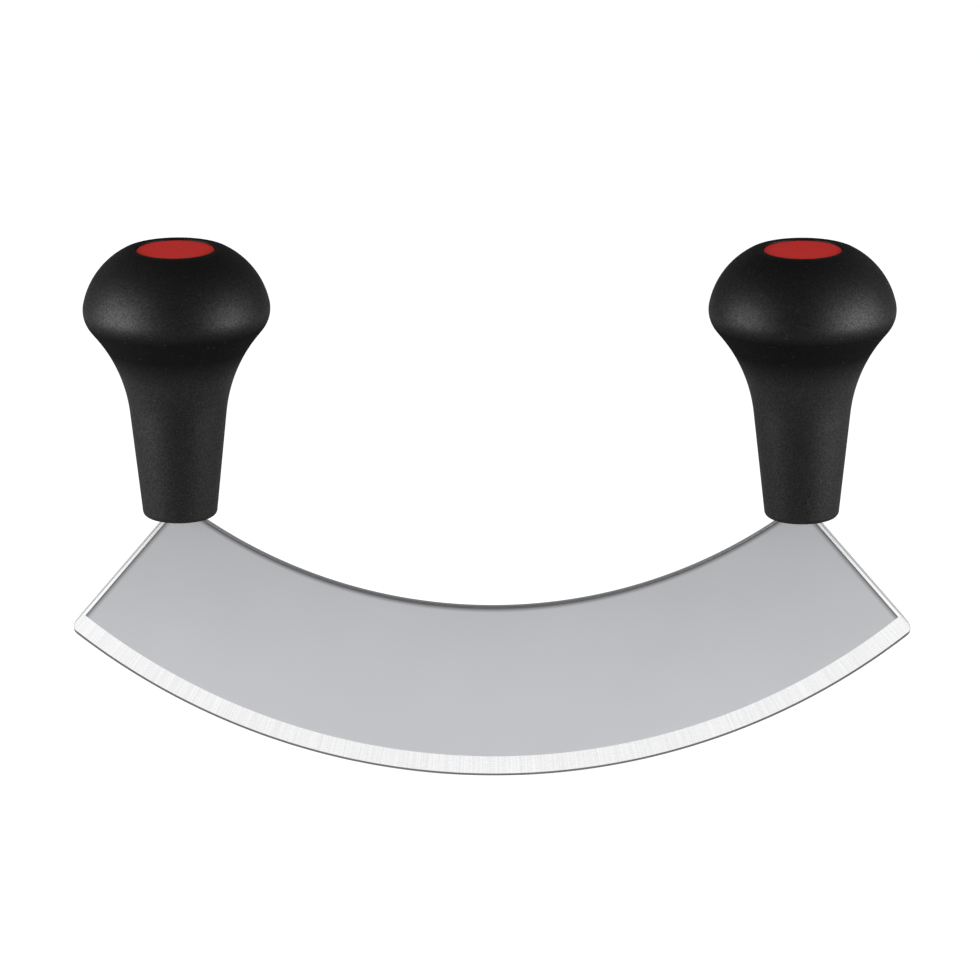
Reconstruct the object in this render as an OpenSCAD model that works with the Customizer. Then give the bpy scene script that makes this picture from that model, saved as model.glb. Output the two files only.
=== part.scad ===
// Mezzaluna: a curved rocking knife with a palm knob at each end.
// +Z up, X along the blade, Y through its thickness.
// The origin is at the lowest point of the cutting edge, in the middle of the blade.

/* [Blade] */
// Radius of the cutting edge's arc
edge_r = 157.6; // [155:0.2:162]
// Depth of the blade at its middle, from edge to spine
blade_depth = 42.8; // [40:0.1:45]
// Width of the blade's shoulder outside the grip's axis
shoulder_out = 3.3; // [3:0.1:5]
// Width of the blade's shoulder inside the grip's axis
shoulder_in = 4.5; // [3.2:0.1:6]
// Thickness of the blade
blade_t = 2; // [1.8:0.1:3]
// Width of the chamfers along the spine
spine_chamfer = 0.25; // [0.1:0.05:0.6]
// Radius of the rounded corners
corner_r = 2.5; // [1:0.1:4]
// Width of the ground bevel on each face
bevel_w = 5.2; // [2:0.1:9]
// Width of the fine bevel along the edge
fine_bevel_w = 0.6; // [0.2:0.05:1]
// Thickness where the fine bevel starts
fine_bevel_t = 0.5; // [0.3:0.05:0.8]
// Thickness of the finished edge
edge_t = 0.1; // [0.05:0.05:0.2]
// Width of the chamfer along each end of a face
end_chamfer_w = 0.9; // [0.4:0.1:1.5]
// Depth of the chamfer along each end of a face
end_chamfer_d = 0.05; // [0.05:0.05:0.3]

/* [Tangs] */
// Width of a tang
tang_w = 6; // [4:0.1:6.2]
// Thickness of a tang
tang_t = 1.6; // [1:0.1:1.6]
// Length of a tang inside the grip
tang_len = 34; // [30:0.5:36]

/* [Grips] */
// Distance between the two grips' axes
grip_spacing = 148.6; // [147:0.1:150]
// Height of the grips' flat undersides
grip_base_z = 65.5; // [65:0.1:67]
// Radius of the stem at its underside
stem_r = 8.8; // [8.6:0.1:10]
// Angle at which the stem widens upwards
stem_taper = 6.1; // [4:0.1:8]
// Radius of the rounding round the underside
base_round = 1.4; // [0.5:0.1:1.8]
// Radius of the hollow neck under the knob
neck_r = 37; // [32:0.5:42]
// Length of the straight slope between the neck and the knob
slope_len = 2; // [0.5:0.5:4]
// Radius of the knob at its widest
knob_r = 22.3; // [21:0.1:24]
// Height of the knob's widest ring above the underside
knob_height = 50.9; // [49:0.1:53]
// Radius of the rounding at the knob's widest ring
knob_round = 7.3; // [6:0.1:8]
// Radius of the dome
dome_r = 18.8; // [18:0.1:20]
// Angle above the horizontal at which the dome starts
dome_start = 12; // [10:0.5:14]
// Radius of the shoulder between the dome and the flat rim
shoulder_r = 5.3; // [4.5:0.1:6]
// Angle above the horizontal at which the shoulder starts
shoulder_start = 61; // [58:0.5:64]
// Thickness of the moulded shell
shell_wall = 2.2; // [1.8:0.1:2.8]
// Gap between the shell and its core
mould_gap = 0.05; // [0.02:0.01:0.15]

/* [Caps] */
// Radius of the opening for the cap
cap_hole_r = 9.5; // [9:0.05:10]
// Gap round the cap
cap_gap = 0.15; // [0.05:0.05:0.3]
// Depth of the cap's face below the rim
cap_recess = 0.3; // [0.1:0.1:0.8]
// Thickness of the cap's disc
cap_t = 2; // [1.5:0.1:2.5]
// Radius of the cap's skirt
cap_skirt_r = 7.5; // [7.2:0.1:8]
// Wall of the cap's skirt
cap_skirt_wall = 1.4; // [1:0.1:1.6]
// Length of the cap's skirt
cap_skirt_len = 6; // [4:0.5:6.5]

/* [Fastenings] */
// Diameter of the stud
stud_d = 6; // [5:0.1:6]
// How far the stud stands past the nut
stud_past = 1.4; // [1:0.1:2]
// Length of the fork that straddles the tang
fork_len = 12; // [10:0.5:13]
// Gap between the tang and the fork's prongs
fork_gap = 0.05; // [0.02:0.01:0.15]
// Diameter of the rivet through the fork
rivet_d = 2.5; // [1.5:0.1:3]
// Length of the rivet
rivet_len = 5.2; // [4.8:0.1:5.4]
// Gap round the rivet
rivet_gap = 0.05; // [0.02:0.01:0.1]
// Gap round the stud in its bore
bore_gap = 0.2; // [0.1:0.05:0.4]
// Gap between the nut's bore and the stud
thread_gap = 0.05; // [0.02:0.01:0.1]
// Gap round the tang in the grip's slot
slot_gap = 0.2; // [0.1:0.05:0.4]
// Depth from the knob's rim to the seat of the plain washer
seat_depth = 19; // [18.8:0.1:20]
// Thickness of the plain washer
washer_t = 1.6; // [1:0.1:2]
// Diameter of the plain washer
washer_d = 12; // [11:0.1:13]
// Thickness of the spring washer
spring_washer_t = 1.6; // [1.2:0.1:1.8]
// Diameter of the spring washer
spring_washer_d = 11.4; // [10:0.1:12]
// Width of the split in the spring washer
split_w = 0.8; // [0.4:0.1:1.2]
// Distance across the nut's flats
nut_af = 10; // [9:0.1:10]
// Thickness of the nut
nut_t = 5; // [4:0.1:5]

/* [Hidden] */
$fn = 96;
arc_steps = 8;
past = 1;

grip_x = grip_spacing / 2;

// The blade's ends are radial. They and the spine's arc meet the grips at the shoulders.
end_angle = atan((grip_x + shoulder_out) / (edge_r - grip_base_z));
spine_rise = grip_base_z - blade_depth;
spine_reach = grip_x - shoulder_in;
spine_r = (spine_rise * spine_rise + spine_reach * spine_reach) / (2 * spine_rise);
spine_z = blade_depth + spine_r;
disc_in_r = (edge_r - blade_depth) / 2;
steel = [0.74, 0.74, 0.76];
black = [0.08, 0.08, 0.08];
red = [0.65, 0.17, 0.16];

// The grip's outline is a chain of tangent arcs. Each is worked out from the one before it.
function along(a) = [cos(a), sin(a)];
function arc(c, r, a0, a1) = [for (i = [0:arc_steps]) c + r * along(a0 + (a1 - a0) * i / arc_steps)];
round_c = [knob_r - knob_round, grip_base_z + knob_height];
dome_c = round_c - (dome_r - knob_round) * along(dome_start);
shoulder_c = dome_c + (dome_r - shoulder_r) * along(shoulder_start);
rim_z = shoulder_c[1] + shoulder_r;

// The neck's arc touches the stem's slanted side and the slope under the knob.
stem_up = [sin(stem_taper), cos(stem_taper)];
stem_out = [cos(stem_taper), -sin(stem_taper)];
neck_reach = norm([knob_round + neck_r, slope_len]);
neck_start = [stem_r, grip_base_z] + neck_r * stem_out - round_c;
neck_along = -neck_start * stem_up
    - sqrt(pow(neck_start * stem_up, 2) - neck_start * neck_start + neck_reach * neck_reach);
neck_c = round_c + neck_start + neck_along * stem_up;
neck_line = neck_c - round_c;
slope_a = atan2(neck_line[1], neck_line[0]) + atan2(slope_len, knob_round + neck_r);

// The outline from the middle of the top down to the stem, moved inwards by an inset.
function knob_outline(inset) = concat(
    [[0, rim_z - inset]],
    arc(shoulder_c, shoulder_r - inset, 90, shoulder_start),
    arc(dome_c, dome_r - inset, shoulder_start, dome_start),
    arc(round_c, knob_round - inset, dome_start, slope_a),
    arc(neck_c, neck_r + inset, slope_a + 180, 180 - stem_taper));
function stem_side(inset, z) =
    stem_r - inset / cos(stem_taper) + (z - grip_base_z) * tan(stem_taper);
base_c = [stem_side(base_round, grip_base_z + base_round), grip_base_z + base_round];

cap_seat_z = rim_z - cap_recess - cap_t;
washer_seat_z = rim_z - seat_depth;
spring_washer_z = washer_seat_z + washer_t;
nut_z = spring_washer_z + spring_washer_t;
core_base_z = grip_base_z + shell_wall;
tang_top_z = grip_base_z + tang_len;
stud_base_z = tang_top_z - fork_len;
rivet_z = tang_top_z - fork_len / 2;
stud_len = nut_z + nut_t + stud_past - stud_base_z;
bore_r = stud_d / 2 + bore_gap;
pocket_r = cap_skirt_r + cap_gap;

module at_side(side) translate([side * grip_x, 0, 0]) children();
module upright() rotate([90, 0, 0]) children();

// The blade is cut from a disc whose rim carries the bevels.
module bevelled_disc() translate([0, 0, edge_r]) upright() rotate_extrude($fn = 360)
    polygon([[disc_in_r, -blade_t / 2], [edge_r - bevel_w, -blade_t / 2],
        [edge_r - fine_bevel_w, -fine_bevel_t / 2], [edge_r, -edge_t / 2],
        [edge_r, edge_t / 2], [edge_r - fine_bevel_w, fine_bevel_t / 2],
        [edge_r - bevel_w, blade_t / 2], [disc_in_r, blade_t / 2]]);

// A corner's arc crosses the edge a little, so that the cut is clean.
corner_cross = 0.05;
corner_reach = edge_r - corner_r + corner_cross;
corner_a = end_angle - asin(corner_r / corner_reach);
function polar(r, a) = [r * sin(a), edge_r - r * cos(a)];
corner_c = polar(corner_reach, corner_a);
corner_points = [for (i = [0:arc_steps])
    corner_c + corner_r * along(end_angle + (corner_a - 90 - end_angle) * i / arc_steps)];
end_top = [(edge_r - grip_base_z) * tan(end_angle), grip_base_z];
blade_half = concat([end_top], corner_points, [polar(edge_r + corner_r, corner_a), [edge_r, -past]]);
function mirrored(points) = [for (i = [len(points) - 1:-1:0]) [-points[i][0], points[i][1]]];

module blade_outline() upright() linear_extrude(height = 4 * blade_t, center = true)
    polygon(concat(blade_half, mirrored(blade_half)));

// The spine's cutter flares past the blade's faces, which leaves a chamfer along both edges.
spine_flat = blade_t / 2 - spine_chamfer;
module spine_cut() translate([0, 0, spine_z]) upright() rotate_extrude($fn = 360)
    polygon([[0, -2 * blade_t], [spine_r + 2 * blade_t - spine_flat, -2 * blade_t],
        [spine_r, -spine_flat], [spine_r, spine_flat],
        [spine_r + 2 * blade_t - spine_flat, 2 * blade_t], [0, 2 * blade_t]]);

module end_chamfers() for (end = [0, 1], face = [0, 1])
    mirror([end, 0, 0]) mirror([0, face, 0])
    translate([0, 0, edge_r]) rotate([0, 180 - end_angle, 0]) linear_extrude(height = edge_r + past)
    polygon([[end_chamfer_w, blade_t / 2], [end_chamfer_w, blade_t], [-past, blade_t],
        [-past, blade_t / 2 - end_chamfer_d * (past + end_chamfer_w) / end_chamfer_w]]);

module tang() difference() {
    translate([-tang_w / 2, -tang_t / 2, grip_base_z - tang_w])
        cube([tang_w, tang_t, tang_w + tang_len]);
    translate([0, 0, rivet_z]) upright()
        cylinder(d = rivet_d + 2 * rivet_gap, h = 2 * blade_t, center = true);
}

module blade() color(steel) union() {
    difference() {
        intersection() {
            bevelled_disc();
            blade_outline();
        }
        spine_cut();
        end_chamfers();
    }
    for (side = [-1, 1]) at_side(side) tang();
}

module tang_slot() translate([-tang_w / 2 - slot_gap, -tang_t / 2 - slot_gap, grip_base_z - past])
    cube([tang_w + 2 * slot_gap, tang_t + 2 * slot_gap, tang_len + past + slot_gap]);

module shell_section() difference() {
    polygon(concat(knob_outline(0), arc(base_c, base_round, -stem_taper, -90), [[0, grip_base_z]]));
    polygon(concat(knob_outline(shell_wall),
        [[stem_side(shell_wall, core_base_z), core_base_z], [0, core_base_z]]));
    translate([0, cap_seat_z]) square([cap_hole_r, 2 * cap_t + cap_recess]);
}

module core_section() difference() {
    intersection() {
        polygon(concat(knob_outline(shell_wall + mould_gap),
            [[stem_side(shell_wall + mould_gap, core_base_z), core_base_z], [0, core_base_z]]));
        square([2 * knob_r, cap_seat_z]);
    }
    translate([0, stud_base_z]) square([bore_r, rim_z - stud_base_z]);
    translate([0, washer_seat_z]) square([pocket_r, rim_z - washer_seat_z]);
}

module grip_shell(side) color(black) at_side(side) difference() {
    rotate_extrude() shell_section();
    tang_slot();
}

module grip_core(side) color([0.16, 0.16, 0.16]) at_side(side) difference() {
    rotate_extrude() core_section();
    tang_slot();
}

module tang_stud(side) color(steel) at_side(side) difference() {
    translate([0, 0, stud_base_z]) cylinder(d = stud_d, h = stud_len);
    translate([-stud_d, -tang_t / 2 - fork_gap, stud_base_z - past])
        cube([2 * stud_d, tang_t + 2 * fork_gap, fork_len + past + slot_gap]);
    translate([0, 0, rivet_z]) upright()
        cylinder(d = rivet_d + 2 * rivet_gap, h = 2 * stud_d, center = true);
}

module stud_rivet(side) color(steel) at_side(side)
    translate([0, 0, rivet_z]) upright() cylinder(d = rivet_d, h = rivet_len, center = true);

module ring(d, t, z) translate([0, 0, z]) difference() {
    cylinder(d = d, h = t);
    translate([0, 0, -past]) cylinder(r = bore_r, h = t + 2 * past);
}

module plain_washer(side) color(steel) at_side(side) ring(washer_d, washer_t, washer_seat_z);

module spring_washer(side) color(steel) at_side(side) difference() {
    ring(spring_washer_d, spring_washer_t, spring_washer_z);
    translate([0, -split_w / 2, spring_washer_z - past])
        cube([spring_washer_d, split_w, spring_washer_t + 2 * past]);
}

module hex_nut(side) color(steel) at_side(side) translate([0, 0, nut_z]) difference() {
    cylinder(d = nut_af / cos(30), h = nut_t, $fn = 6);
    translate([0, 0, -past]) cylinder(d = stud_d + 2 * thread_gap, h = nut_t + 2 * past);
}

module end_cap(side) color(red) at_side(side) union() {
    translate([0, 0, cap_seat_z]) cylinder(r = cap_hole_r - cap_gap, h = cap_t);
    difference() {
        translate([0, 0, cap_seat_z - cap_skirt_len]) cylinder(r = cap_skirt_r, h = cap_skirt_len + past);
        translate([0, 0, cap_seat_z - cap_skirt_len - past])
            cylinder(r = cap_skirt_r - cap_skirt_wall, h = cap_skirt_len + past);
    }
}

blade();
grip_shell(-1);  // left_grip_shell
grip_core(-1);  // left_grip_core
tang_stud(-1);  // left_tang_stud
stud_rivet(-1);  // left_stud_rivet
plain_washer(-1);  // left_plain_washer
spring_washer(-1);  // left_spring_washer
hex_nut(-1);  // left_hex_nut
end_cap(-1);  // left_end_cap
grip_shell(1);  // right_grip_shell
grip_core(1);  // right_grip_core
tang_stud(1);  // right_tang_stud
stud_rivet(1);  // right_stud_rivet
plain_washer(1);  // right_plain_washer
spring_washer(1);  // right_spring_washer
hex_nut(1);  // right_hex_nut
end_cap(1);  // right_end_cap
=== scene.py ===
import math

import bmesh
import bpy
from mathutils import Matrix, Vector


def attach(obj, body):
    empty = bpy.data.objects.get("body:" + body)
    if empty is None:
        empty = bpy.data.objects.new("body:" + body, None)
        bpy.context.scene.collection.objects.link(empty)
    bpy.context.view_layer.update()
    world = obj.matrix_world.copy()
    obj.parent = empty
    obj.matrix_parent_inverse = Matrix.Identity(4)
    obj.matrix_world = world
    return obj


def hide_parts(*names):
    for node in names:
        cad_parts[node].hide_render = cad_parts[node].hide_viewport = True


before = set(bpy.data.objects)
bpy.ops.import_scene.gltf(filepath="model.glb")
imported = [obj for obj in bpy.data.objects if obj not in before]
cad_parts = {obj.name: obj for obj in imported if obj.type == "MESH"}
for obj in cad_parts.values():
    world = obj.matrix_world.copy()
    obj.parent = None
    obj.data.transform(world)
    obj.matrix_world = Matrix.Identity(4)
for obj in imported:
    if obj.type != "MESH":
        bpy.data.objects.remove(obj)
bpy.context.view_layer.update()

MM = 0.001
SIDES = {"left": -1, "right": 1}

# Blade, in metres, with the same sizes as the solid
EDGE_R = 157.6 * MM
BLADE_DEPTH = 42.8 * MM
SHOULDER_OUT = 3.3 * MM
SHOULDER_IN = 4.5 * MM
BLADE_HALF = 1.0 * MM
CORNER_R = 2.5 * MM
BEVEL_W = 5.2 * MM
FINE_BEVEL_W = 0.6 * MM
FINE_BEVEL_HALF = 0.25 * MM
EDGE_HALF = 0.05 * MM
END_CHAMFER_W = 0.9 * MM
END_CHAMFER_D = 0.05 * MM
END_BLEND_W = 1.3 * MM
END_SHADE_W = 2.3 * MM
OUTLINE_W = 0.28 * MM
SPINE_ROUND = 0.3 * MM
SPINE_SHADE_W = 1.4 * MM
TANG_HALF_W = 3.0 * MM
TANG_HALF_T = 0.8 * MM
TANG_LEN = 34.0 * MM

# Grips
GRIP_X = 74.3 * MM
GRIP_BASE_Z = 65.5 * MM
STEM_R = 8.8 * MM
STEM_TAPER = math.radians(6.1)
BASE_ROUND = 1.4 * MM
NECK_R = 37.0 * MM
SLOPE_LEN = 2.0 * MM
KNOB_R = 22.3 * MM
KNOB_Z = 116.4 * MM
KNOB_ROUND = 7.3 * MM
DOME_R = 18.8 * MM
DOME_START = math.radians(12)
SHOULDER_R = 5.3 * MM
SHOULDER_START = math.radians(61)
NECK_SHADE_LOW_Z = 100.0 * MM
SHELL_WALL = 2.2 * MM
SLOT_GAP = 0.2 * MM
RIM_ROUND = 0.2 * MM

# Caps
CAP_HOLE_R = 9.5 * MM
CAP_GAP = 0.15 * MM
CAP_RECESS = 0.3 * MM
CAP_T = 2.0 * MM
CAP_EDGE_ROUND = 0.25 * MM
CAP_SKIRT_R = 7.5 * MM
CAP_SKIRT_WALL = 1.4 * MM
CAP_SKIRT_LEN = 6.0 * MM

# The blade's ends are radial, and they and the spine's arc meet the grips at the shoulders
BEVEL_R = EDGE_R - BEVEL_W
FINE_BEVEL_R = EDGE_R - FINE_BEVEL_W
END_ANGLE = math.atan2(GRIP_X + SHOULDER_OUT, EDGE_R - GRIP_BASE_Z)
SPINE_RISE = GRIP_BASE_Z - BLADE_DEPTH
SPINE_R = (SPINE_RISE ** 2 + (GRIP_X - SHOULDER_IN) ** 2) / (2 * SPINE_RISE)
SPINE_DROP = BLADE_DEPTH + SPINE_R - EDGE_R

# How finely the pieces are meshed
AROUND = 192
ARC_STEPS = 20
ROUND_STEPS = 6


# Nodes, for shaders and for geometry

class Value:
    """A node's output that takes part in Python expressions."""

    def __init__(self, tree, socket):
        self.tree = tree
        self.socket = socket

    def maths(self, operation, *numbers):
        return self.tree.node("ShaderNodeMath", {"operation": operation}, dict(enumerate(numbers)))

    def __add__(self, other):
        return self.maths("ADD", self, other)

    def __sub__(self, other):
        return self.maths("SUBTRACT", self, other)

    def __rsub__(self, other):
        return self.maths("SUBTRACT", other, self)

    def __mul__(self, other):
        return self.maths("MULTIPLY", self, other)

    def __truediv__(self, other):
        return self.maths("DIVIDE", self, other)

    def __rtruediv__(self, other):
        return self.maths("DIVIDE", other, self)

    def __pow__(self, other):
        return self.maths("POWER", self, other)

    __radd__ = __add__
    __rmul__ = __mul__

    def clamped(self):
        return self.maths("MINIMUM", self.maths("MAXIMUM", self, 0.0), 1.0)


class Tree:
    """A node tree that is written as calls and expressions."""

    def __init__(self, nodes_and_links):
        self.nodes = nodes_and_links.nodes
        self.links = nodes_and_links.links

    def node(self, kind, settings=None, inputs=None, output=0):
        made = self.nodes.new(kind)
        for key, value in (settings or {}).items():
            if key == "stops":
                self.set_stops(made.color_ramp, value)
            else:
                setattr(made, key, value)
        for key, value in (inputs or {}).items():
            self.feed(made, key, value)
        if output is None:
            return made
        return Value(self, self.find(made.outputs, output))

    def find(self, sockets, key):
        if isinstance(key, int):
            return sockets[key]
        return next(s for s in sockets if s.name == key and s.enabled)

    def feed(self, made, key, value):
        socket = self.find(made.inputs, key)
        if isinstance(value, Value):
            self.links.new(value.socket, socket)
        else:
            socket.default_value = value

    def set_stops(self, ramp, stops):
        while len(ramp.elements) < len(stops):
            ramp.elements.new(0.5)
        for element, (place, colour) in zip(ramp.elements, stops):
            element.position = place
            element.color = (*colour, 1.0)

    def split(self, vector):
        made = self.node("ShaderNodeSeparateXYZ", inputs={0: vector}, output=None)
        return [Value(self, made.outputs[i]) for i in range(3)]

    def join(self, x, y, z):
        return self.node("ShaderNodeCombineXYZ", inputs={0: x, 1: y, 2: z})

    def mix(self, amount, first, second):
        return self.node("ShaderNodeMix", {"data_type": "RGBA"},
                         {"Factor": amount, "A": (*first, 1.0) if isinstance(first, tuple) else first,
                          "B": (*second, 1.0) if isinstance(second, tuple) else second}, "Result")

    def noise(self, vector, scale, detail=2.0, roughness=0.5):
        return self.node("ShaderNodeTexNoise", inputs={
            "Vector": vector, "Scale": scale, "Detail": detail, "Roughness": roughness}, output=0)

    def bump(self, height, distance, strength=1.0):
        return self.node("ShaderNodeBump", inputs={
            "Height": height, "Distance": distance, "Strength": strength}, output=0)


class Finish(Tree):
    """A material with one main shader."""

    def __init__(self, name, **uniform):
        self.material = bpy.data.materials.new(name)
        self.material.use_nodes = True
        super().__init__(self.material.node_tree)
        self.shader = self.nodes["Principled BSDF"]
        self.place = self.node("ShaderNodeTexCoord", output="Object")
        for key, value in uniform.items():
            self.shader.inputs[key.replace("_", " ").title().replace("Ior", "IOR")].default_value = value

    def set(self, key, value):
        self.feed(self.shader, key, value)


# Finishes

def blade_steel():
    """Satin faces, with a brighter ground bevel and polished ends."""
    finish = Finish("blade_steel", metallic=1.0)
    x, y, z = finish.split(finish.place)
    drop = EDGE_R - z
    radius = (x * x + drop * drop) ** 0.5
    angle = finish.node("ShaderNodeMath", {"operation": "ARCTAN2"}, {0: x, 1: drop})
    side_x = finish.node("ShaderNodeMath", {"operation": "ABSOLUTE"}, {0: x})
    from_end = drop * math.sin(END_ANGLE) - side_x * math.cos(END_ANGLE)
    bevel = ((radius - BEVEL_R) / (0.06 * MM)).clamped()
    fine_bevel = ((radius - FINE_BEVEL_R) / (0.05 * MM)).clamped()
    end_stripe = ((END_CHAMFER_W - from_end) / (0.1 * MM)).clamped()
    polish = finish.node("ShaderNodeMath", {"operation": "MAXIMUM"}, {0: bevel, 1: end_stripe})
    grain = finish.noise(finish.join(x * 0.25, y, z * 6.0), 900.0, 3.0)
    cloud = finish.noise(finish.place, 35.0, 2.0)
    spine_drop = EDGE_R + SPINE_DROP - z
    from_spine = (x * x + spine_drop * spine_drop) ** 0.5 - SPINE_R
    grinding = finish.noise(finish.join(angle * 8.0, radius * 0.5, y * 0.5), 60.0, 4.0, 0.6)
    face_colour = finish.mix(cloud, (0.435, 0.439, 0.455), (0.475, 0.479, 0.495))
    # Painted shade: a dark band stands in for the shade along the rounded edges, and fades into the face beside each
    # end and under the spine.
    end_shade = ((END_SHADE_W - from_end) / (END_SHADE_W - END_CHAMFER_W)).clamped() ** 1.6
    spine_shade = ((SPINE_SHADE_W - from_spine) / (SPINE_SHADE_W - SPINE_ROUND)).clamped()
    on_face = ((from_spine - SPINE_ROUND / 2) / (SPINE_ROUND / 2)).clamped()
    painted_shade = finish.node("ShaderNodeMath", {"operation": "MAXIMUM"}, {0: end_shade, 1: spine_shade * on_face})
    face_colour = finish.mix(painted_shade * 0.95, face_colour, (0.08, 0.08, 0.085))
    bevel_colour = finish.mix(((grinding - 0.35) * 3.0).clamped(), (0.67, 0.67, 0.675), (0.76, 0.76, 0.765))
    colour = finish.mix(end_stripe, face_colour, (0.98, 0.98, 0.98))
    colour = finish.mix(bevel, colour, bevel_colour)
    # A thin grey line follows each end and goes round its corner.
    near_end = finish.node("ShaderNodeMath", {"operation": "MAXIMUM"}, {0: CORNER_R - from_end, 1: 0.0})
    near_edge = finish.node("ShaderNodeMath", {"operation": "MAXIMUM"}, {0: CORNER_R - EDGE_R + radius, 1: 0.0})
    from_outline = CORNER_R - (near_end * near_end + near_edge * near_edge) ** 0.5
    outline = ((OUTLINE_W - from_outline) / (0.1 * MM)).clamped()
    colour = finish.mix(outline, colour, (0.50, 0.50, 0.51))
    colour = finish.mix(fine_bevel, colour, (0.13, 0.13, 0.14))
    finish.set("Base Color", colour)
    finish.set("Roughness", 0.34 + 0.06 * grain - 0.10 * polish)
    height = grain * 0.25 * (1.0 - polish) + grinding * polish
    finish.set("Normal", finish.bump(height, 0.004 * MM, 0.5))
    return finish.material


def black_soft_plastic():
    """Black moulded plastic with a fine grain. Its coat is turned down in the neck under the knob, as painted shade."""
    finish = Finish("black_soft_plastic", specular_ior_level=0.0, coat_roughness=0.52)
    x, y, z = finish.split(finish.place)
    cloud = finish.noise(finish.place, 60.0, 3.0)
    pebble = finish.noise(finish.place, 2600.0, 2.0, 0.6)
    speck = finish.noise(finish.place, 1500.0, 1.0)
    dust = ((speck - 0.68) * 9.0).clamped()
    colour = finish.mix(cloud, (0.0012, 0.0012, 0.0012), (0.0028, 0.0028, 0.0027))
    finish.set("Base Color", finish.mix(dust * 0.10, colour, (0.08, 0.08, 0.078)))
    finish.set("Roughness", 0.46 + 0.10 * cloud + 0.06 * pebble)
    finish.set("Normal", finish.bump(pebble, 0.03 * MM, 0.55))
    # Painted shade: the coat fades out in the neck under the knob, where shade falls.
    under_knob = ((KNOB_Z - z) / (3.5 * MM)).clamped()
    above_stem = ((z - NECK_SHADE_LOW_Z) / (7.0 * MM)).clamped()
    neck = under_knob * above_stem
    finish.set("Coat Weight", ((pebble - 0.12) * 0.66).clamped() * (1.0 - 0.85 * neck))
    return finish.material


def black_core_plastic():
    """Plain hard plastic, a shade greyer, with faint flow marks."""
    finish = Finish("black_core_plastic", specular_ior_level=0.5)
    flow = finish.noise(finish.place, 90.0, 4.0, 0.6)
    fine = finish.noise(finish.place, 1800.0, 2.0)
    finish.set("Base Color", finish.mix(flow, (0.018, 0.018, 0.019), (0.032, 0.032, 0.033)))
    finish.set("Roughness", 0.38 + 0.14 * flow)
    finish.set("Normal", finish.bump(fine, 0.01 * MM, 0.5))
    return finish.material


def red_cap_plastic():
    """Smooth red plastic, faintly mottled."""
    finish = Finish("red_cap_plastic", specular_ior_level=0.0, coat_weight=0.06, coat_roughness=0.4)
    cloud = finish.noise(finish.place, 120.0, 3.0)
    fine = finish.noise(finish.place, 2200.0, 2.0)
    finish.set("Base Color", finish.mix(cloud, (0.332, 0.019, 0.016), (0.370, 0.022, 0.019)))
    finish.set("Roughness", 0.42 + 0.10 * cloud)
    finish.set("Normal", finish.bump(fine, 0.012 * MM, 0.5))
    return finish.material


def fastener_steel():
    """Bright turned steel with fine rings round its axis."""
    finish = Finish("fastener_steel", metallic=1.0)
    x, y, z = finish.split(finish.place)
    rings = finish.noise(finish.join(x * 0.2, y * 0.2, z * 8.0), 700.0, 3.0)
    stain = finish.noise(finish.place, 400.0, 3.0)
    finish.set("Base Color", finish.mix(stain, (0.46, 0.46, 0.47), (0.60, 0.60, 0.60)))
    finish.set("Roughness", 0.26 + 0.16 * stain)
    finish.set("Normal", finish.bump(rings, 0.01 * MM, 0.5))
    return finish.material


FINISHES = {make.__name__: make() for make in (
    blade_steel, black_soft_plastic, black_core_plastic, red_cap_plastic, fastener_steel)}


# Pieces

def link(name, mesh):
    made = bpy.data.objects.new(name, mesh)
    bpy.context.scene.collection.objects.link(made)
    return made


def plain_mesh(made):
    """The object's evaluated mesh, with its modifiers gone."""
    bpy.context.view_layer.update()
    evaluated = made.evaluated_get(bpy.context.evaluated_depsgraph_get())
    mesh = bpy.data.meshes.new_from_object(evaluated)
    made.modifiers.clear()
    made.data = mesh


def tidy_faces(mesh, sharp_angle, extra_sharp=None):
    """Joins doubles, turns the faces outwards and marks the sharp edges."""
    work = bmesh.new()
    work.from_mesh(mesh)
    bmesh.ops.remove_doubles(work, verts=work.verts, dist=0.0005 * MM)
    bmesh.ops.dissolve_degenerate(work, edges=work.edges, dist=0.0005 * MM)
    bmesh.ops.recalc_face_normals(work, faces=work.faces)
    for face in work.faces:
        face.smooth = True
    for edge in work.edges:
        if len(edge.link_faces) == 2:
            sharp = edge.calc_face_angle() > sharp_angle
            edge.smooth = not (sharp or (extra_sharp and extra_sharp(edge)))
    work.to_mesh(mesh)
    work.free()


def finish_piece(piece, slot, *nodes):
    piece.data.materials.clear()
    piece.data.materials.append(FINISHES[slot])
    for face in piece.data.polygons:
        face.material_index = 0
    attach(piece, "root")
    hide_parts(*nodes)


# Blade

def blade_half_thickness(radius, from_end):
    """Half the blade's thickness, which falls away over the bevels and at the ends."""
    if radius <= BEVEL_R:
        ground = BLADE_HALF
    elif radius <= FINE_BEVEL_R:
        ground = BLADE_HALF + (FINE_BEVEL_HALF - BLADE_HALF) * (radius - BEVEL_R) / (FINE_BEVEL_R - BEVEL_R)
    else:
        ground = FINE_BEVEL_HALF + (EDGE_HALF - FINE_BEVEL_HALF) * (radius - FINE_BEVEL_R) / FINE_BEVEL_W
    # The end's chamfer runs out into the face in a soft curve.
    slope = END_CHAMFER_D / (END_CHAMFER_W + END_BLEND_W / 2)
    if from_end < END_CHAMFER_W:
        chamfered = BLADE_HALF - END_CHAMFER_D + slope * from_end
    else:
        left = max(0.0, END_CHAMFER_W + END_BLEND_W - from_end)
        chamfered = BLADE_HALF - slope * left * left / (2 * END_BLEND_W)
    return min(ground, chamfered)


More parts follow.
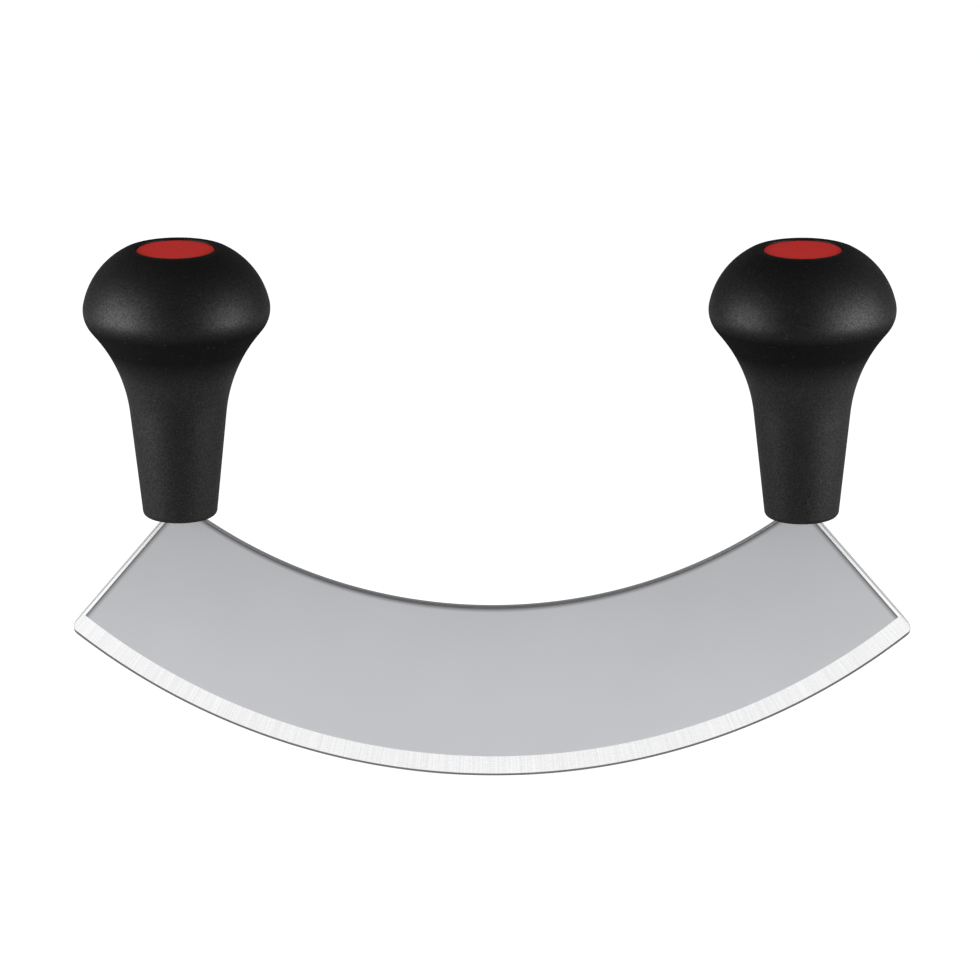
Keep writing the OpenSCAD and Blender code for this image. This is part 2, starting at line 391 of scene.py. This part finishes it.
def blade_row_radii(spine, edge):
    """Radii and heights off the face's edge, from the middle of the spine to the cutting edge."""
    rows = [(spine, None), (spine, BLADE_HALF - SPINE_ROUND)]
    for i in range(1, ROUND_STEPS + 1):
        turn = math.pi / 2 * i / ROUND_STEPS
        rows.append((spine + SPINE_ROUND * (1 - math.cos(turn)), BLADE_HALF - SPINE_ROUND * (1 - math.sin(turn))))
    face_start = spine + SPINE_ROUND
    rows.append((face_start + 0.15 * MM, BLADE_HALF))
    rows += [(face_start + (BEVEL_R - face_start) * i / 6, BLADE_HALF) for i in range(1, 6)]
    rows += [(BEVEL_R + (FINE_BEVEL_R - BEVEL_R) * i / 8, BLADE_HALF) for i in range(9)]
    rows += [(FINE_BEVEL_R + FINE_BEVEL_W * i / 2, BLADE_HALF) for i in range(1, 3)]
    return [(min(radius, edge), height) for radius, height in rows]


def blade_stations():
    """Places along the blade: a distance from one end, or an angle for all the middle."""
    near_end = [0.0, 0.1, 0.2, 0.35, 0.5, 0.7, 0.9, 1.1, 1.3, 1.5, 1.7, 1.9, 2.1, 2.2, 2.5, 3.0, 4.0, 5.5]
    middle = 150
    reach = math.radians(36.6)
    left = [(-1, step * MM, None) for step in near_end]
    right = [(1, step * MM, None) for step in reversed(near_end)]
    return left + [(0, None, reach * (2 * i / middle - 1)) for i in range(middle + 1)] + right


def corner_radius_at(from_end):
    """The radius of the blade's outline at a distance from its end, round the corner."""
    if from_end >= CORNER_R:
        return EDGE_R
    return EDGE_R - CORNER_R + math.sqrt(CORNER_R ** 2 - (CORNER_R - from_end) ** 2)


def spine_radius_at(angle):
    """The spine's distance from the edge's centre, or the grip's underside where that is lower."""
    arc = math.sqrt(SPINE_R ** 2 - (SPINE_DROP * math.sin(angle)) ** 2) - SPINE_DROP * math.cos(angle)
    return max(arc, (EDGE_R - GRIP_BASE_Z) / math.cos(angle))


def blade_section(side, from_end, angle):
    """The front half of the blade's section at one station, as points."""
    if angle is None:
        spine = spine_radius_at(END_ANGLE)
        for closer in range(8):
            spine = spine_radius_at(END_ANGLE - math.asin(from_end / spine))
        edge = corner_radius_at(from_end)
    else:
        spine = spine_radius_at(angle)
        edge = EDGE_R
    points = []
    for radius, height in blade_row_radii(spine, edge):
        if angle is None:
            turn = side * (END_ANGLE - math.asin(from_end / radius))
            inset = from_end
        else:
            turn = angle
            inset = radius * math.sin(END_ANGLE - abs(angle))
        half = 0.0 if height is None else min(height, blade_half_thickness(radius, inset))
        points.append((radius * math.sin(turn), half, EDGE_R - radius * math.cos(turn)))
    return points


def box_faces(start):
    corners = ((0, 1, 3, 2), (4, 6, 7, 5), (0, 4, 5, 1), (2, 3, 7, 6), (0, 2, 6, 4), (1, 5, 7, 3))
    return [tuple(start + i for i in face) for face in corners]


def ground_blade():
    sections = [blade_section(*station) for station in blade_stations()]
    rows = len(sections[0])
    points = []
    for face in (-1, 1):
        points += [(x, face * y, z) for section in sections for x, y, z in section]
    back = len(sections) * rows
    faces = []
    for i in range(len(sections) - 1):
        for j in range(rows - 1):
            quad = (i * rows + j, i * rows + j + 1, (i + 1) * rows + j + 1, (i + 1) * rows + j)
            faces += [quad, tuple(back + k for k in reversed(quad))]
        edge = (i * rows + rows - 1, (i + 1) * rows + rows - 1)
        faces.append((edge[0], back + edge[0], back + edge[1], edge[1]))
    for i in (0, len(sections) - 1):
        for j in range(1, rows - 1):
            a, b = i * rows + j, i * rows + j + 1
            faces.append((a, b, back + b, back + a))
        faces.append((i * rows, i * rows + 1, back + i * rows + 1))
    for side in SIDES.values():
        start = len(points)
        for z in (GRIP_BASE_Z, GRIP_BASE_Z + TANG_LEN):
            points += [(side * GRIP_X + w * TANG_HALF_W, t * TANG_HALF_T, z) for t in (-1, 1) for w in (-1, 1)]
        faces += box_faces(start)
    mesh = bpy.data.meshes.new("blade_ground")
    mesh.from_pydata(points, [], faces)

    def on_bevel_line(edge):
        for line in (BEVEL_R, FINE_BEVEL_R):
            if all(abs(math.hypot(v.co.x, EDGE_R - v.co.z) - line) < 0.002 * MM for v in edge.verts):
                return True
        return False

    tidy_faces(mesh, math.radians(30), on_bevel_line)
    piece = link("blade_ground", mesh)
    finish_piece(piece, "blade_steel", "blade")


# Grips and caps

def revolve_nodes():
    """Geometry nodes that turn a side outline, drawn in XZ, round an upright axis."""
    group = bpy.data.node_groups.new("revolved_moulding", "GeometryNodeTree")
    sockets = {}
    for name, kind in (("Outline", "Geometry"), ("Steps Around", "Int"), ("Axis X", "Float"), ("Material", "Material")):
        made = group.interface.new_socket(name, in_out="INPUT", socket_type="NodeSocket" + kind)
        sockets[name] = made.identifier
    group.interface.new_socket("Moulding", in_out="OUTPUT", socket_type="NodeSocketGeometry")
    tree = Tree(group)
    given = tree.node("NodeGroupInput", output=None)
    outline, steps, axis_x, material = [Value(tree, given.outputs[i]) for i in range(4)]
    count = tree.node("GeometryNodeAttributeDomainSize", {"component": "MESH"}, {0: outline}, "Point Count")
    grid = tree.node("GeometryNodeMeshGrid", inputs={
        "Size X": 1.0, "Size Y": 1.0, "Vertices X": steps + 1, "Vertices Y": count}, output="Mesh")
    here = tree.node("GeometryNodeInputPosition")
    across, along, unused = tree.split(here)
    ring = tree.node("ShaderNodeMath", {"operation": "ROUND"}, {0: (along + 0.5) * (count - 1)})
    outline_point = tree.node("GeometryNodeSampleIndex", {"data_type": "FLOAT_VECTOR", "domain": "POINT"}, {
        "Geometry": outline, "Value": here, "Index": ring})
    radius, unused, height = tree.split(outline_point)
    turn = across * (2 * math.pi)
    cosine = tree.node("ShaderNodeMath", {"operation": "COSINE"}, {0: turn})
    sine = tree.node("ShaderNodeMath", {"operation": "SINE"}, {0: turn})
    place = tree.join(axis_x + radius * cosine, radius * sine, height)
    moved = tree.node("GeometryNodeSetPosition", inputs={"Geometry": grid, "Position": place})
    joined = tree.node("GeometryNodeMergeByDistance", inputs={"Geometry": moved, "Distance": 0.0005 * MM})
    real = tree.node("GeometryNodeRealizeInstances", inputs={"Geometry": joined})
    painted = tree.node("GeometryNodeSetMaterial", inputs={"Geometry": real, "Material": material})
    result = tree.node("NodeGroupOutput", output=None)
    tree.links.new(painted.socket, result.inputs[0])
    return group, sockets


REVOLVE, REVOLVE_SOCKETS = revolve_nodes()


def revolved(name, outline, axis_x, slot):
    """A moulding turned from its side outline, as a plain mesh."""
    mesh = bpy.data.meshes.new(name)
    points = [(radius, 0.0, height) for radius, height in outline]
    mesh.from_pydata(points, [(i, i + 1) for i in range(len(points) - 1)], [])
    piece = link(name, mesh)
    modifier = piece.modifiers.new("revolve", "NODES")
    modifier.node_group = REVOLVE
    modifier[REVOLVE_SOCKETS["Steps Around"]] = AROUND
    modifier[REVOLVE_SOCKETS["Axis X"]] = axis_x
    modifier[REVOLVE_SOCKETS["Material"]] = FINISHES[slot]
    plain_mesh(piece)
    tidy_faces(piece.data, math.radians(35))
    return piece


def along(angle):
    return Vector((math.cos(angle), math.sin(angle)))


def arc(centre, radius, start, stop, steps=ARC_STEPS):
    return [centre + radius * along(start + (stop - start) * i / steps) for i in range(steps + 1)]


# The knob's outline is a chain of arcs, each tangent to the one before it.
ROUND_C = Vector((KNOB_R - KNOB_ROUND, KNOB_Z))
DOME_C = ROUND_C - (DOME_R - KNOB_ROUND) * along(DOME_START)
SHOULDER_C = DOME_C + (DOME_R - SHOULDER_R) * along(SHOULDER_START)
RIM_Z = SHOULDER_C.y + SHOULDER_R
CAP_SEAT_Z = RIM_Z - CAP_RECESS - CAP_T
CORE_BASE_Z = GRIP_BASE_Z + SHELL_WALL


def neck_centre():
    """The neck's arc touches the stem's slanted side and the slope under the knob."""
    up = Vector((math.sin(STEM_TAPER), math.cos(STEM_TAPER)))
    out = Vector((math.cos(STEM_TAPER), -math.sin(STEM_TAPER)))
    reach = math.hypot(KNOB_ROUND + NECK_R, SLOPE_LEN)
    start = Vector((STEM_R, GRIP_BASE_Z)) + NECK_R * out - ROUND_C
    back = start.dot(up)
    return ROUND_C + start + up * (-back - math.sqrt(back ** 2 - start.dot(start) + reach ** 2))


NECK_C = neck_centre()
NECK_LINE = NECK_C - ROUND_C
SLOPE_A = math.atan2(NECK_LINE.y, NECK_LINE.x) + math.atan2(SLOPE_LEN, KNOB_ROUND + NECK_R)


def stem_side(inset, height):
    return STEM_R - inset / math.cos(STEM_TAPER) + (height - GRIP_BASE_Z) * math.tan(STEM_TAPER)


def knob_outline(inset):
    """From the flat rim down to the stem, moved inwards by an inset."""
    return (arc(SHOULDER_C, SHOULDER_R - inset, math.pi / 2, SHOULDER_START)
            + arc(DOME_C, DOME_R - inset, SHOULDER_START, DOME_START)[1:]
            + arc(ROUND_C, KNOB_ROUND - inset, DOME_START, SLOPE_A)[1:]
            + arc(NECK_C, NECK_R + inset, SLOPE_A + math.pi, math.pi - STEM_TAPER))


def shell_outline():
    base_c = Vector((stem_side(BASE_ROUND, GRIP_BASE_Z + BASE_ROUND), GRIP_BASE_Z + BASE_ROUND))
    rim_c = Vector((CAP_HOLE_R + RIM_ROUND, RIM_Z - RIM_ROUND))
    outside = knob_outline(0.0)
    base = arc(base_c, BASE_ROUND, -STEM_TAPER, -math.pi / 2, 10)
    inside = knob_outline(SHELL_WALL)
    ledge = Vector((CAP_HOLE_R, RIM_Z - SHELL_WALL))
    stem_in = Vector((stem_side(SHELL_WALL, CORE_BASE_Z), CORE_BASE_Z))
    floor = [Vector((0.0, GRIP_BASE_Z)), Vector((0.0, CORE_BASE_Z)), stem_in]
    rim = arc(rim_c, RIM_ROUND, math.pi, math.pi / 2, ROUND_STEPS)
    return outside + base + floor + list(reversed(inside)) + [ledge] + rim + [outside[0]]


def cap_outline():
    top = CAP_SEAT_Z + CAP_T
    disc_r = CAP_HOLE_R - CAP_GAP
    skirt_in = CAP_SKIRT_R - CAP_SKIRT_WALL
    edge_c = Vector((disc_r - CAP_EDGE_ROUND, top - CAP_EDGE_ROUND))
    edge = arc(edge_c, CAP_EDGE_ROUND, math.pi / 2, 0.0, ROUND_STEPS)
    face = [Vector((edge_c.x * i / 6, top)) for i in range(6)]
    under = [(disc_r, CAP_SEAT_Z), (CAP_SKIRT_R, CAP_SEAT_Z), (CAP_SKIRT_R, CAP_SEAT_Z - CAP_SKIRT_LEN),
             (skirt_in, CAP_SEAT_Z - CAP_SKIRT_LEN), (skirt_in, CAP_SEAT_Z), (0.0, CAP_SEAT_Z)]
    return face + edge + [Vector(point) for point in under]


def cut_tang_slot(piece, axis_x):
    """Cuts the slot for the tang through the shell's floor."""
    half = (TANG_HALF_W + SLOT_GAP, TANG_HALF_T + SLOT_GAP)
    heights = (GRIP_BASE_Z - 1 * MM, CORE_BASE_Z + 1 * MM)
    points = [(axis_x + w * half[0], t * half[1], z) for z in heights for t in (-1, 1) for w in (-1, 1)]
    mesh = bpy.data.meshes.new("slot_cutter")
    mesh.from_pydata(points, [], box_faces(0))
    cutter = link("slot_cutter", mesh)
    tidy_faces(mesh, math.radians(30))
    modifier = piece.modifiers.new("slot", "BOOLEAN")
    modifier.operation = "DIFFERENCE"
    modifier.solver = "EXACT"
    modifier.object = cutter
    plain_mesh(piece)
    bpy.data.objects.remove(cutter)
    tidy_faces(piece.data, math.radians(35))


def grip_shell(side, sign):
    piece = revolved(side + "_shell_moulding", shell_outline(), sign * GRIP_X, "black_soft_plastic")
    cut_tang_slot(piece, sign * GRIP_X)
    finish_piece(piece, "black_soft_plastic", side + "_grip_shell")


def end_cap(side, sign):
    piece = revolved(side + "_cap_moulding", cap_outline(), sign * GRIP_X, "red_cap_plastic")
    finish_piece(piece, "red_cap_plastic", side + "_end_cap")


def paint_inner_pieces():
    """The pieces inside the grips keep their solids and get a better finish."""
    for side in SIDES:
        for part in ("grip_core", "tang_stud", "stud_rivet", "plain_washer", "spring_washer", "hex_nut"):
            slot = "black_core_plastic" if part == "grip_core" else "fastener_steel"
            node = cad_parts[side + "_" + part]
            for place in node.material_slots:
                place.material = FINISHES[slot]


ground_blade()
for side_name, side_sign in SIDES.items():
    grip_shell(side_name, side_sign)
    end_cap(side_name, side_sign)
paint_inner_pieces()


# Studio

def white_floor():
    """A white sheet that ends a little in front of the object, with a soft shadow."""
    finish = Finish("floor_paper", roughness=0.9)
    fibre = finish.noise(finish.place, 250.0, 3.0)
    finish.set("Base Color", finish.mix(fibre, (0.80, 0.80, 0.80), (0.82, 0.82, 0.82)))
    rays = finish.node("ShaderNodeLightPath", output=None)
    seen = Value(finish, rays.outputs["Is Camera Ray"])
    for kind in ("Is Glossy Ray", "Is Transmission Ray"):
        seen = finish.node("ShaderNodeMath", {"operation": "MAXIMUM"}, {0: seen, 1: Value(finish, rays.outputs[kind])})
    finish.shader.inputs["Emission Color"].default_value = (1.0, 1.0, 1.0, 1.0)
    glow = finish.node("ShaderNodeEmission", inputs={"Color": (1.0, 1.0, 1.0, 1.0), "Strength": 0.89})
    sheet = finish.node("ShaderNodeBsdfDiffuse", inputs={"Color": (0.18, 0.18, 0.18, 1.0)})
    shown = finish.node("ShaderNodeAddShader", inputs={0: glow, 1: sheet})
    plain = Value(finish, finish.shader.outputs[0])
    mixed = finish.node("ShaderNodeMixShader", inputs={0: seen, 1: plain, 2: shown})
    finish.links.new(mixed.socket, finish.nodes["Material Output"].inputs["Surface"])
    mesh = bpy.data.meshes.new("floor")
    front, back, reach = -0.25, 4.0, 3.0
    mesh.from_pydata([(-reach, front, 0), (reach, front, 0), (reach, back, 0), (-reach, back, 0)], [], [(0, 1, 2, 3)])
    mesh.materials.append(finish.material)
    link("floor", mesh)


def studio_world():
    """Even light for matt surfaces; for gloss, white low down and dim overhead."""
    world = bpy.data.worlds.new("studio")
    bpy.context.scene.world = world
    world.use_nodes = True
    tree = Tree(world.node_tree)
    for made in list(tree.nodes):
        tree.nodes.remove(made)
    direction = tree.node("ShaderNodeTexCoord", output="Generated")
    x, y, z = tree.split(direction)
    above = tree.node("ShaderNodeValToRGB", {"stops": [
        (0.0, (0.04, 0.04, 0.04)), (0.50, (0.06, 0.06, 0.06)), (0.53, (0.42, 0.42, 0.42)),
        (0.66, (0.38, 0.38, 0.38)), (0.80, (0.14, 0.14, 0.14)), (1.0, (0.12, 0.12, 0.12))]}, {"Fac": z * 0.5 + 0.5})
    behind = ((y + 0.25) * 2.0).clamped()
    dim = tree.mix(behind, (0.05, 0.05, 0.05), above)
    rays = tree.node("ShaderNodeLightPath", output=None)
    camera, glossy = (Value(tree, rays.outputs[kind]) for kind in ("Is Camera Ray", "Is Glossy Ray"))
    colour = tree.mix(glossy, (0.62, 0.62, 0.62), dim)
    colour = tree.mix(camera, colour, (1.0, 1.0, 1.0))
    background = tree.node("ShaderNodeBackground", inputs={"Color": colour, "Strength": 1.0})
    result = tree.node("ShaderNodeOutputWorld", output=None)
    tree.links.new(background.socket, result.inputs["Surface"])


def soft_lamp(name, place, aim, size, power):
    lamp = bpy.data.lights.new(name, "AREA")
    lamp.shape = "RECTANGLE"
    lamp.size, lamp.size_y = size
    lamp.energy = power
    made = bpy.data.objects.new(name, lamp)
    bpy.context.scene.collection.objects.link(made)
    made.location = place
    made.rotation_euler = (Vector(aim) - Vector(place)).to_track_quat("-Z", "Y").to_euler()
    made.visible_camera = False


def photo_camera():
    """The camera at the photograph's angle."""
    pitch, yaw, roll = math.radians(15.99), math.radians(1.80), math.radians(-0.41)
    distance = 1809.0 * MM
    target = Vector((-0.1 * MM, 0.0, 71.7 * MM))
    back = Vector((math.sin(yaw) * math.cos(pitch), -math.cos(yaw) * math.cos(pitch), math.sin(pitch)))
    right = (-back).cross(Vector((0, 0, 1))).normalized()
    up = right.cross(-back)
    turned_right = right * math.cos(roll) + up * math.sin(roll)
    turned_up = up * math.cos(roll) - right * math.sin(roll)
    data = bpy.data.cameras.new("camera")
    data.sensor_width = 36.0
    data.lens = 278.2
    data.clip_start = 0.1
    data.clip_end = 20.0
    camera = bpy.data.objects.new("camera", data)
    bpy.context.scene.collection.objects.link(camera)
    turn = Matrix((turned_right, turned_up, back)).transposed().to_4x4()
    camera.matrix_world = Matrix.Translation(target + back * distance) @ turn
    bpy.context.scene.camera = camera


white_floor()
studio_world()
for sign in SIDES.values():
    soft_lamp("side_lamp", (sign * 0.55, -0.20, 0.16), (sign * 0.07, 0.0, 0.11), (0.5, 0.3), 10.0)
photo_camera()
bpy.context.scene.view_settings.view_transform = "Standard"
